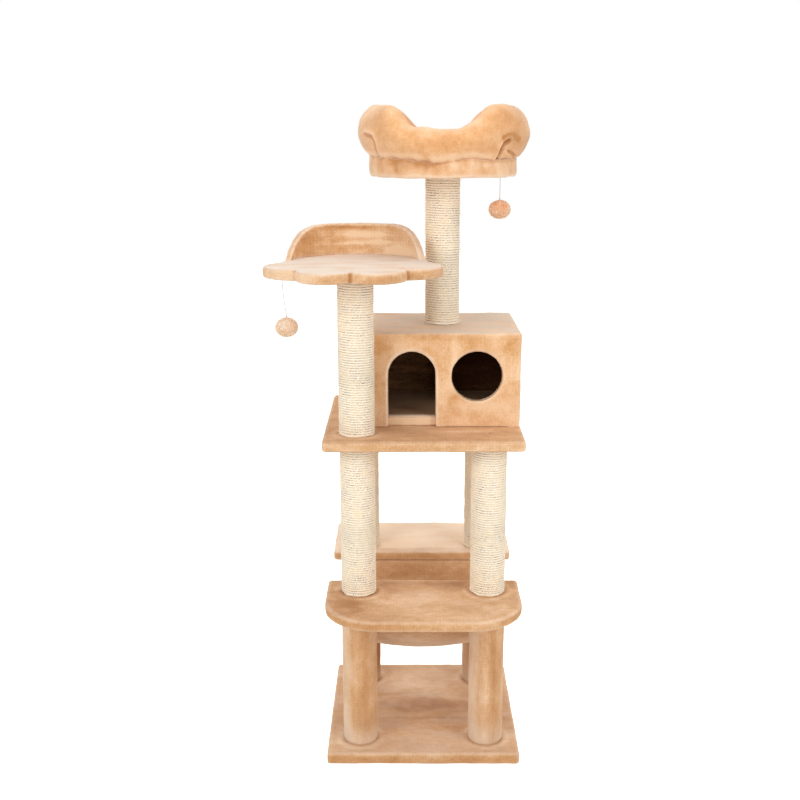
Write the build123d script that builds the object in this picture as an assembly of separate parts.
from build123d import *
import os
from math import cos, pi, radians, sin, sqrt, tan

# A tall cat tree for one corner of a room: a base, two lower tiers on four posts, a hammock
# between the two boards of the first tier, a house on the second, a scalloped seat on the
# front-left post and a round bed on a single pole over the house.
# Millimetres. X runs to the right, Y to the back, Z up. The origin is the centre of the
# underside of the base.

os.makedirs("parts", exist_ok=True)

# ---------------------------------------------------------------- cloth, board and clearances
plush = 3.5                 # pile cloth over every board
post_plush = 4              # pile cloth round the lower posts
lining = 1.5                # thin cloth inside the house
sling_cloth = 5             # two layers of pile cloth, sewn back to back
board = 18                  # chipboard of the platforms, the seat and the bed
base_core = 23              # chipboard of the base
panel = 12                  # chipboard of the house and the seat's back
cloth_gap = 0.3             # cloth to a cut or curved edge
fit_gap = 0.3               # a plug in its tube, a sleeve on its tube
edge_radius = 5             # cloth rolled over a board's edge
corner_radius = 7           # corners of the square boards, seen from above

# ---------------------------------------------------------------- base and posts
base_width = 494
base_depth = 490
post_x = 163.5              # the four corner posts stand at plus and minus these
post_y = 162
post_length = 391
rope = 6                    # sisal rope, one layer
sisal_tube = 76             # cardboard tube under the rope
plush_tube = 80             # cardboard tube under the pile cloth
tube_wall = 4
plug_length = 20            # wooden plug in each end of a tube

# ---------------------------------------------------------------- first tier and hammock
tier_width = 490
front_board_front = 354     # distance of the front edge from the middle of the tree
front_board_corner = 130
hammock_gap_front = 94      # edges of the gap between the two boards
hammock_gap_rear = 103
rear_board_back = 341
sling_width = 330
sling_drop = 201            # below the boards' undersides, to the outside of the cloth
sling_wall = 4              # cloth face to the board's edge
batten_width = 14
batten_height = 10

# ---------------------------------------------------------------- second tier and house
platform_width = 490
platform_depth = 490
house_width = 383
house_depth = 317
house_height = 240
house_x = 51                # centre of the house, and of the pole on its roof
house_y = 49
door_width = 118
door_height = 196
door_x = -28
window_diameter = 124
window_x = 134
window_height = 133         # centre, above the platform

# ---------------------------------------------------------------- scalloped seat
seat_aside = 3              # the seat's middle, to the left of the post's axis
seat_back_centre = 57       # centre of the round back, behind the post's axis
seat_back_radius = 179
seat_front_notch = 154      # notch on the centre line, ahead of the post's axis
seat_front_lobe = (64, 184)     # furthest point of a front lobe: sideways, forwards
seat_side_notch = (126, 112)    # notch between a front and a side lobe
seat_side_lobe = (204, 58)      # a point on a side lobe
seat_notch_round = 5
backrest_radius = 173       # outside of the curved back
backrest_height = 79
backrest_core = 9
shoulder_turn = 55          # degrees from the back where a shoulder is seen square on
shoulder_foot = 84          # the shoulder's outline, seen so: its foot from the middle,
shoulder_top = -12          # where its slope would meet the top, before rounding,
shoulder_round = 150        # and the round between them

# ---------------------------------------------------------------- round bed
bed_pole_length = 374
bed_radius = 183.5
bed_pad = 17                # foam on the bed's board
rim_radius = 214            # outside of the stuffed rim
rim_thickness = 80
rim_low = 71.5              # height of the rim at the front and the back
rim_high = 132              # and at the sides
rim_dip_start = 13          # degrees from the middle of the dip where it starts to climb
rim_dip_end = 47            # and where it is at its full height
rim_seat = 4                # how far the rim is pressed flat on the bed
rim_step = 10               # degrees between the sections of the rim

# ---------------------------------------------------------------- fasteners
stud = 8                    # M8 studs and bolts
stud_hole = 9
stud_grip = 18              # length screwed into a plug
stud_blind = 14             # length screwed into the seat's and the bed's board
bolt_head = 13              # across the flats of a hexagon head
bolt_head_height = 5.5
washer = 24
washer_height = 2
recess_diameter = 30        # pocket for a bolt's head under the base
recess_depth = 13
socket_head = 13            # round heads on the platform
socket_head_height = 8
socket_recess = 14
screw = 4.5                 # wood screws of the house
screw_head = 9
screw_length = 38
screw_inset = 45            # screws from the ends of a panel

# ---------------------------------------------------------------- hanging toys
string = 1.2
pompom_width = 54
pompom_height = 46
pompom_steps = 16           # straight runs of its profile from pole to pole
bead = 4                    # knot on top of each pompom
left_toy_at = (-164, -88)   # on the seat, from the post's axis
left_toy_drop = [(0, -1.2), (0.6, -20), (2.6, -41), (5.2, -62), (8, -83)]
right_toy_at = (136, -100)  # on the bed, from the pole's axis
right_toy_drop = 50
toy_gap = 0.3

# ---------------------------------------------------------------- heights of the tiers
tier_thickness = board + 2 * plush
base_top = base_core + 2 * plush
tier_1 = base_top + post_length             # underside of the first tier
tier_1_top = tier_1 + tier_thickness
tier_2 = tier_1_top + post_length           # underside of the platform
tier_2_top = tier_2 + tier_thickness
house_top = tier_2_top + house_height
seat_z = tier_2_top + post_length           # underside of the seat
seat_top = seat_z + tier_thickness
bed_z = house_top + bed_pole_length         # underside of the bed
bed_core_z = bed_z + plush
bed_pad_z = bed_core_z + board
bed_top = bed_pad_z + bed_pad + plush

post_radius = sisal_tube / 2 + rope
post_places = {
    "front_left": (-post_x, -post_y),
    "front_right": (post_x, -post_y),
    "rear_left": (-post_x, post_y),
    "rear_right": (post_x, post_y),
}
seat_x, seat_y = post_places["front_left"]
seat_middle = seat_x - seat_aside


def save(shape, name):
    shape.label = name
    export_step(shape, f"parts/{name}.step")


def upright(radius, z, height, at=(0, 0)):
    """A vertical cylinder standing at height z."""
    x, y = at
    return Pos(x, y, z) * Cylinder(radius, height, align=(Align.CENTER, Align.CENTER, Align.MIN))


def pipe(outer, inner, z, height, at=(0, 0)):
    return upright(outer, z, height, at) - upright(inner, z, height, at)


def block(x, y, z):
    """A box from three (low, high) pairs."""
    size = [high - low for low, high in (x, y, z)]
    corner = (Align.MIN, Align.MIN, Align.MIN)
    return Pos(x[0], y[0], z[0]) * Box(*size, align=corner)


# ---------------------------------------------------------------- boards wrapped in cloth
def wrapped_board(outline, core, z, edge=edge_radius):
    """The board and the cloth round it, from the finished outline seen from above."""
    whole = extrude(Pos(0, 0, z) * outline, core + 2 * plush)
    rims = whole.edges().group_by(Axis.Z)
    whole = fillet(rims[0] + rims[-1], edge)
    inner = offset(outline, -plush, kind=Kind.INTERSECTION)
    pocket = offset(outline, cloth_gap - plush, kind=Kind.INTERSECTION)
    wood = extrude(Pos(0, 0, z + plush) * inner, core)
    cover = whole - extrude(Pos(0, 0, z + plush) * pocket, core)
    return wood, cover


def bored(shapes, cutter):
    return [shape - cutter for shape in shapes]


def square_board(width, front, back):
    """A rectangular outline with small round corners."""
    middle = (back + front) / 2
    return Pos(0, middle) * RectangleRounded(width, back - front, corner_radius)


def front_board_outline():
    """Straight at the back, with two large round corners at the front."""
    half = tier_width / 2
    front = -front_board_front
    shape = make_face(Polyline(
        (-half, -hammock_gap_front), (half, -hammock_gap_front),
        (half, front), (-half, front), close=True))
    corners = shape.vertices().group_by(Axis.Y)
    shape = fillet(corners[0], front_board_corner)
    return fillet(shape.vertices().group_by(Axis.Y)[-1], corner_radius)


def seat_outline():
    """A shell of four lobes at the front, closed by a round back."""
    side_x, side_y = seat_side_notch
    hip_y = 12
    hip_x = sqrt(seat_back_radius**2 - hip_y**2)
    hip = (hip_x, seat_back_centre - hip_y)
    lobe_x, lobe_y = seat_front_lobe
    flank_x, flank_y = seat_side_lobe
    half = Curve() + [
        ThreePointArc((0, -seat_front_notch), (lobe_x, -lobe_y), (side_x, -side_y)),
        ThreePointArc((side_x, -side_y), (flank_x, -flank_y), hip),
    ]
    back = ThreePointArc(hip, (0, seat_back_centre + seat_back_radius), (-hip[0], hip[1]))
    shape = make_face(half + back + mirror(half, Plane.YZ))
    notches = [v for v in shape.vertices() if v.Y < 0]
    return fillet(notches, seat_notch_round)


def stud_holes(z, height, places):
    return [upright(stud_hole / 2, z, height, at) for at in places]


def recesses(z, places):
    """Pockets in the underside of the base for the heads of its bolts."""
    return [upright(recess_diameter / 2, z, recess_depth, at) for at in places]


def make_base():
    outline = square_board(base_width, -base_depth / 2, base_depth / 2)
    corners = list(post_places.values())
    cutters = stud_holes(0, base_top, corners) + recesses(0, corners)
    wood, cover = bored(wrapped_board(outline, base_core, 0), cutters)
    save(wood, "base_board")
    save(cover, "base_cover")


def make_first_tier():
    front = [post_places["front_left"], post_places["front_right"]]
    rear = [post_places["rear_left"], post_places["rear_right"]]
    rear_outline = square_board(tier_width, hammock_gap_rear, rear_board_back)
    for name, outline, places in (
        ("front_step", front_board_outline(), front),
        ("rear_step", rear_outline, rear),
    ):
        holes = stud_holes(tier_1, tier_thickness, places)
        wood, cover = bored(wrapped_board(outline, board, tier_1), holes)
        save(wood, f"{name}_board")
        save(cover, f"{name}_cover")


def make_platform():
    outline = square_board(platform_width, -platform_depth / 2, platform_depth / 2)
    places = post_places.values()
    holes = stud_holes(tier_2, tier_thickness, places)
    holes += [platform_bolt_recess(at) for at in bolted_posts()]
    holes += [floor_screw(at, cloth_gap) for at in floor_screw_places()]
    wood, cover = bored(wrapped_board(outline, board, tier_2), holes)
    save(wood, "platform_board")
    save(cover, "platform_cover")


# ---------------------------------------------------------------- posts
def make_posts():
    sisal_inner = sisal_tube / 2 + fit_gap
    plush_inner = plush_tube / 2 + fit_gap
    plush_outer = plush_tube / 2 + post_plush
    lower_tubes = []
    middle_tubes = []
    for name, at in post_places.items():
        lower_tubes.append(cardboard_tube(plush_tube, base_top, post_length, at))
        sleeve = pipe(plush_outer, plush_inner, base_top, post_length, at)
        save(sleeve, f"lower_post_plush_{name}")
        middle_tubes.append(cardboard_tube(sisal_tube, tier_1_top, post_length, at))
        sleeve = pipe(post_radius, sisal_inner, tier_1_top, post_length, at)
        save(sleeve, f"middle_post_sisal_{name}")
    save(Compound(lower_tubes), "lower_post_tubes")
    save(Compound(middle_tubes), "middle_post_tubes")
    for name, z, length, at in (
        ("seat_post", tier_2_top, post_length, (seat_x, seat_y)),
        ("bed_pole", house_top, bed_pole_length, (house_x, house_y)),
    ):
        save(cardboard_tube(sisal_tube, z, length, at), f"{name}_tube")
        save(pipe(post_radius, sisal_inner, z, length, at), f"{name}_sisal")


def cardboard_tube(diameter, z, length, at):
    return pipe(diameter / 2, diameter / 2 - tube_wall, z, length, at)


def end_plugs(diameter, z, length, at):
    """A wooden plug in each end of a tube, bored for a stud."""
    outer = diameter / 2 - tube_wall - fit_gap
    bore = stud / 2 + fit_gap
    return [pipe(outer, bore, low, plug_length, at) for low in (z, z + length - plug_length)]


def make_plugs():
    plugs = []
    for at in post_places.values():
        plugs += end_plugs(plush_tube, base_top, post_length, at)
        plugs += end_plugs(sisal_tube, tier_1_top, post_length, at)
    plugs += end_plugs(sisal_tube, tier_2_top, post_length, (seat_x, seat_y))
    plugs += end_plugs(sisal_tube, house_top, bed_pole_length, (house_x, house_y))
    save(Compound(plugs), "post_end_plugs")


# ---------------------------------------------------------------- fasteners
def hex_bolt(z, length, at, up=1):
    """A hexagon bolt and its washer. z is the face that the washer bears on."""
    head = extrude(RegularPolygon(bolt_head / 2, 6, major_radius=False), bolt_head_height)
    body = Pos(0, 0, -washer_height - bolt_head_height) * head
    shank = upright(stud / 2, -washer_height, washer_height + length)
    ring = pipe(washer / 2, stud / 2 + fit_gap, -washer_height, washer_height)
    turn = Rot(0, 0, 0) if up > 0 else Rot(180, 0, 0)
    x, y = at
    return [Pos(x, y, z) * turn * part for part in (body + shank, ring)]


def bolted_posts():
    """The middle posts that carry nothing above the platform."""
    return [at for name, at in post_places.items() if name != "front_left"]


def platform_bolt_recess(at):
    low = tier_2_top - plush - socket_head_height
    return upright(socket_recess / 2, low, tier_2_top - low, at)


def platform_bolt(at):
    """A socket-head bolt, its head flush with the board under the cloth."""
    seat = tier_2_top - plush - socket_head_height
    foot = tier_2 - stud_grip
    head = upright(socket_head / 2, seat, socket_head_height, at)
    key = extrude(RegularPolygon(socket_head / 4, 6), socket_head_height / 2)
    x, y = at
    key = Pos(x, y, seat + socket_head_height / 2) * key
    return head + upright(stud / 2, foot, seat - foot, at) - key


def make_fasteners():
    corners = list(post_places.values())
    base_bolts = []
    bolt_reach = base_top - recess_depth + stud_grip
    for at in corners:
        base_bolts += hex_bolt(recess_depth, bolt_reach, at)
    save(Compound(base_bolts), "base_bolts")

    through = stud_grip + tier_thickness + stud_grip
    blind = stud_grip + plush + stud_blind
    studs = [upright(stud / 2, tier_1 - stud_grip, through, at) for at in corners]
    studs.append(upright(stud / 2, tier_2 - stud_grip, through, (seat_x, seat_y)))
    studs.append(upright(stud / 2, seat_z - stud_grip, blind, (seat_x, seat_y)))
    studs.append(upright(stud / 2, bed_z - stud_grip, blind, (house_x, house_y)))
    save(Compound(studs), "connector_studs")

    save(Compound([platform_bolt(at) for at in bolted_posts()]), "platform_bolts")

    ceiling = house_top - plush - panel
    reach = panel + plush + stud_grip
    save(Compound(hex_bolt(ceiling, reach, (house_x, house_y))), "bed_pole_bolt")


# ---------------------------------------------------------------- hammock
def sling_section(inset):
    """Middle, half width and depth of the U, inset from the outside of the cloth."""
    front = -hammock_gap_front + sling_wall + inset
    rear = hammock_gap_rear - sling_wall - inset
    middle = (front + rear) / 2
    half = (rear - front) / 2
    drop = sling_drop - inset
    return middle, half, drop


def sling_trough(inset, width, top):
    middle, half, drop = sling_section(inset)
    wall_z = tier_1 - drop + half
    face = make_face(Curve() + [
        ThreePointArc((middle - half, wall_z), (middle, wall_z - half), (middle + half, wall_z)),
        Line((middle + half, wall_z), (middle + half, top)),
        Line((middle + half, top), (middle - half, top)),
        Line((middle - half, top), (middle - half, wall_z)),
    ])
    return extrude(Plane.YZ * face, width / 2, both=True)


def make_hammock():
    """A trough of cloth between the boards, its edges turned out and held by two battens."""
    cloth = sling_trough(0, sling_width, tier_1)
    cloth -= sling_trough(sling_cloth, sling_width + 2, tier_1 + 1)
    half = (-sling_width / 2, sling_width / 2)
    flange_z = (tier_1 - sling_cloth, tier_1)
    front_edge = -hammock_gap_front + sling_wall
    rear_edge = hammock_gap_rear - sling_wall
    front = (front_edge - sling_wall - batten_width, front_edge + sling_cloth)
    rear = (rear_edge - sling_cloth, rear_edge + sling_wall + batten_width)
    cloth += block(half, front, flange_z)
    cloth += block(half, rear, flange_z)
    save(cloth, "hammock_sling")
    batten_z = (tier_1 - sling_cloth - batten_height, tier_1 - sling_cloth)
    battens = [
        block(half, (front[0], front[0] + batten_width), batten_z),
        block(half, (rear[1] - batten_width, rear[1]), batten_z),
    ]
    save(Compound(battens), "hammock_battens")


# ---------------------------------------------------------------- house
wall = plush + panel
house_left = house_x - house_width / 2
house_right = house_x + house_width / 2
house_front = house_y - house_depth / 2
house_back = house_y + house_depth / 2
roof_z = house_top - plush - panel          # underside of the roof panel
floor_top = tier_2_top + tier_thickness     # top of the house's own floor


def house_box(inset, low, high):
    return block(
        (house_left + inset, house_right - inset),
        (house_front + inset, house_back - inset),
        (low, high))


def front_prism(sketch, depth):
    """Extrude an outline in X and Z from the house's front face towards the back."""
    return extrude(Plane((0, house_front, 0), x_dir=(1, 0, 0), z_dir=(0, -1, 0)) * sketch, -depth)


def door_shape(grow):
    """The arched doorway, straight-sided up to a half circle."""
    radius = door_width / 2 + grow
    spring = tier_2_top + door_height - door_width / 2
    arch = Pos(door_x, spring) * Circle(radius)
    sill = tier_2_top - 1
    legs = Pos(door_x, (spring + sill) / 2) * Rectangle(2 * radius, spring - sill)
    return arch + legs


def window_shape(grow):
    return Pos(window_x, tier_2_top + window_height) * Circle(window_diameter / 2 + grow)


def front_openings(grow, depth):
    return [front_prism(shape(grow), depth) for shape in (door_shape, window_shape)]


def corner_screw_places():
    """Screws through the front and back panels into the side panels."""
    xs = (house_left + plush + panel / 2, house_right - plush - panel / 2)
    zs = (tier_2_top + screw_inset, roof_z - screw_inset)
    return [(x, z) for x in xs for z in zs]


def wood_screw(grow=0):
    """A countersunk screw along +Z, its head's face at the origin."""
    head = Cone(screw_head / 2 + grow, screw / 2 + grow, screw_head / 2,
                align=(Align.CENTER, Align.CENTER, Align.MIN))
    return head + upright(screw / 2 + grow, screw_head / 2, screw_length - screw_head / 2 + grow)


def corner_screws(grow=0):
    screws = []
    for x, z in corner_screw_places():
        screws.append(Pos(x, house_front + plush, z) * Rot(-90, 0, 0) * wood_screw(grow))
        screws.append(Pos(x, house_back - plush, z) * Rot(90, 0, 0) * wood_screw(grow))
    return screws


def roof_screws(grow=0):
    top = house_top - plush
    ys = (house_front + wall + screw_inset, house_back - wall - screw_inset)
    xs = (house_left + plush + panel / 2, house_right - plush - panel / 2)
    return [Pos(x, y, top) * Rot(180, 0, 0) * wood_screw(grow) for x in xs for y in ys]


def floor_screw_places():
    xs = (house_left + 2 * screw_inset, house_right - 2 * screw_inset)
    ys = (house_front + 2 * screw_inset, house_back - 2 * screw_inset)
    return [(x, y) for x in xs for y in ys]


def floor_screw(at, grow=0):
    """Up through the platform into the house's floor."""
    x, y = at
    return Pos(x, y, tier_2) * wood_screw(grow)


def make_house():
    inside = fit_gap + wall
    low, high = tier_2_top, roof_z
    holes = corner_screws(cloth_gap) + roof_screws(cloth_gap)
    front = block((house_left + plush, house_right - plush),
                  (house_front + plush, house_front + wall), (low, high))
    front = front - front_openings(plush + cloth_gap, wall + 1) - holes
    back = block((house_left + plush, house_right - plush),
                 (house_back - wall, house_back - plush), (low, high)) - holes
    depth = (house_front + wall, house_back - wall)
    left = block((house_left + plush, house_left + wall), depth, (low, high)) - holes
    right = block((house_right - wall, house_right - plush), depth, (low, high)) - holes
    pole_hole = upright(stud_hole / 2, roof_z - lining, wall + lining, (house_x, house_y))
    roof = house_box(plush, roof_z, house_top - plush) - holes - pole_hole
    for name, shape in (("front", front), ("back", back), ("left", left),
                        ("right", right), ("roof", roof)):
        save(shape, f"house_{name}_panel")

    # cloth outside, rolled through the door and the window
    cover = house_box(0, low, house_top) - house_box(plush, low, house_top - plush)
    for outer, clear in zip(front_openings(plush, wall), front_openings(0, wall)):
        cover = cover + (outer & house_box(0, low, house_top)) - clear
    corners = [e for e in cover.edges().filter_by(Axis.Z)
               if abs(abs(e.center().X - house_x) - house_width / 2) < 0.01]
    cover = fillet(corners, edge_radius)
    top = cover.edges().group_by(Axis.Z)[-1]
    cover = fillet([e for e in top if e.length > stud_hole * 4], edge_radius)
    cover = cover - pole_hole
    save(cover, "house_cover")

    # thin cloth inside
    skin = house_box(wall, floor_top, roof_z) - house_box(wall + lining, floor_top, roof_z - lining)
    skin = skin - front_openings(0, wall + 2 * lining)
    skin = skin - upright(washer / 2 + fit_gap, roof_z - lining, lining, (house_x, house_y))
    save(skin, "house_lining")

    outline = Pos(house_x, house_y) * RectangleRounded(
        house_width - 2 * inside, house_depth - 2 * inside, corner_radius / 2)
    screws = [floor_screw(at, cloth_gap) for at in floor_screw_places()]
    wood, cloth = bored(wrapped_board(outline, board, tier_2_top, edge=plush), screws)
    save(wood, "house_floor_board")
    save(cloth, "house_floor_cover")
    fixed = [floor_screw(at) for at in floor_screw_places()]
    save(Compound(corner_screws() + roof_screws() + fixed), "house_screws")


# ---------------------------------------------------------------- seat
def shoulder_prism(side, inset):
    """All that lies short of one end of the back: a slope with a wide round at its top."""
    foot = shoulder_foot - inset
    peak = shoulder_top - inset
    top = seat_top + backrest_height - inset
    far = -2 * backrest_radius
    shape = make_face(Polyline((far, seat_top), (foot, seat_top), (peak, top), (far, top), close=True))
    peak_corner = shape.vertices().group_by(Axis.Y)[-1].sort_by(Axis.X)[-1]
    shape = fillet(peak_corner, shoulder_round - inset)
    turn = radians(shoulder_turn)
    outwards = (side * sin(turn), cos(turn), 0)
    along = (side * cos(turn), -sin(turn), 0)
    spread = Plane((0, 0, 0), x_dir=along, z_dir=tuple(-side * c for c in outwards)) * shape
    return Pos(seat_middle, seat_y + seat_back_centre) * extrude(spread, backrest_radius + 1, both=True)


def bent_panel(inset):
    """The curved back between its two shoulders, with every face moved in by the inset."""
    outer = backrest_radius - inset
    inner = backrest_radius - backrest_core - 2 * plush + inset
    centre = (seat_middle, seat_y + seat_back_centre)
    ring = pipe(outer, inner, seat_top, backrest_height, centre)
    return ring & shoulder_prism(-1, inset) & shoulder_prism(1, inset)


def make_seat():
    outline = Pos(seat_middle, seat_y) * seat_outline()
    hole = upright(stud_hole / 2, seat_z, plush + stud_blind + fit_gap, (seat_x, seat_y))
    wood, cover = bored(wrapped_board(outline, board, seat_z), [hole])
    save(wood, "seat_board")
    save(cover, "seat_cover")
    save(bent_panel(plush), "seat_back_panel")
    save(bent_panel(0) - bent_panel(plush - cloth_gap), "seat_back_cover")


# ---------------------------------------------------------------- bed
def rim_height(angle):
    """Height of the rim, by the angle from the middle of the front dip."""
    step = (abs(angle) - rim_dip_start) / (rim_dip_end - rim_dip_start)
    step = min(max(step, 0), 1)
    climb = step * step * (3 - 2 * step)
    return rim_low + (rim_high - rim_low) * climb


def rim_section(angle):
    """The stuffed rim cut across at one angle."""
    height = rim_height(angle) + rim_seat
    centre = rim_radius - rim_thickness / 2
    direction = (sin(radians(angle)), -cos(radians(angle)), 0)
    along = (cos(radians(angle)), sin(radians(angle)), 0)
    place = Plane(origin=(house_x + centre * direction[0], house_y + centre * direction[1],
                          bed_top - rim_seat + height / 2), x_dir=direction, z_dir=along)
    return place * Ellipse(rim_thickness / 2, height / 2)


def make_bed():
    at = (house_x, house_y)
    outline = Pos(*at) * Circle(bed_radius)
    whole = extrude(Pos(0, 0, bed_z) * outline, bed_top - bed_z)
    whole = fillet(whole.edges().filter_by(GeomType.CIRCLE), edge_radius)
    pocket = upright(bed_radius - plush + cloth_gap, bed_core_z, board + bed_pad, at)
    hole = upright(stud_hole / 2, bed_z, plush + stud_blind + fit_gap, at)
    save(whole - pocket - hole, "bed_cover")
    save(upright(bed_radius - plush, bed_core_z, board, at) - hole, "bed_board")
    save(upright(bed_radius - plush, bed_pad_z, bed_pad, at), "bed_pad")

    front = loft([rim_section(angle) for angle in range(-90, 91, rim_step)])
    rim = front + mirror(front, Plane((house_x, house_y, 0), z_dir=(0, 1, 0)))
    rim = rim - upright(rim_radius + 1, bed_top - 2 * rim_seat, 2 * rim_seat, at)
    save(rim, "bed_rim")


# ---------------------------------------------------------------- toys
def pompom(x, y, top):
    """A plush ball, a little flattened, its top just under the knot."""
    turns = [pi * step / pompom_steps for step in range(pompom_steps + 1)]
    profile = [(pompom_width / 2 * sin(turn), -pompom_height / 2 * cos(turn)) for turn in turns]
    ball = revolve(Plane.XZ * make_face(Polyline(*profile, close=True)), Axis.Z)
    return Pos(x, y, top - pompom_height / 2) * ball


def make_left_toy():
    x0, y0 = seat_x + left_toy_at[0], seat_y + left_toy_at[1]
    points = [(x0 + dx, y0, seat_z + dz) for dx, dz in left_toy_drop]
    radii = []
    for before, here, after in zip(points, points[1:], points[2:]):
        run_in = Vector(*here) - Vector(*before)
        run_out = Vector(*after) - Vector(*here)
        turn = radians(run_in.get_angle(run_out))
        radii.append(0.45 * min(run_in.length, run_out.length) / tan(turn / 2))
    print("left string radii", [round(r, 1) for r in radii])
    path = FilletPolyline(*points, radius=radii)
    start = Plane(origin=path @ 0, z_dir=path % 0)
    tube = sweep(start * Circle(string / 2), path=path)
    tube += Pos(*points[0]) * Sphere(string / 2)
    save(tube, "left_toy_string")
    end = path @ 1
    knot_z = end.Z - bead / 2
    save(Pos(end.X, end.Y, knot_z) * Sphere(bead / 2), "left_toy_knot")
    save(pompom(end.X, end.Y, knot_z - bead / 2 - toy_gap), "left_toy_pompom")
    print("left string length", round(path.length, 2), "volume share",
          round(tube.volume / (path.length * pi * (string / 2)**2), 4))
    print("left pivot", points[0], "knot", (round(end.X, 3), end.Y, round(knot_z, 3)))


def make_right_toy():
    x, y = house_x + right_toy_at[0], house_y + right_toy_at[1]
    top = bed_z - string
    tube = upright(string / 2, bed_z - right_toy_drop, right_toy_drop - string, (x, y))
    tube += Pos(x, y, top) * Sphere(string / 2)
    save(tube, "right_toy_string")
    knot_z = bed_z - right_toy_drop - bead / 2
    save(Pos(x, y, knot_z) * Sphere(bead / 2), "right_toy_knot")
    save(pompom(x, y, knot_z - bead / 2 - toy_gap), "right_toy_pompom")
    print("right pivot", (x, y, top), "knot", (x, y, knot_z))


make_base()
make_first_tier()
make_platform()
make_posts()
make_plugs()
make_fasteners()
make_hammock()
make_house()
make_seat()
make_bed()
make_left_toy()
make_right_toy()
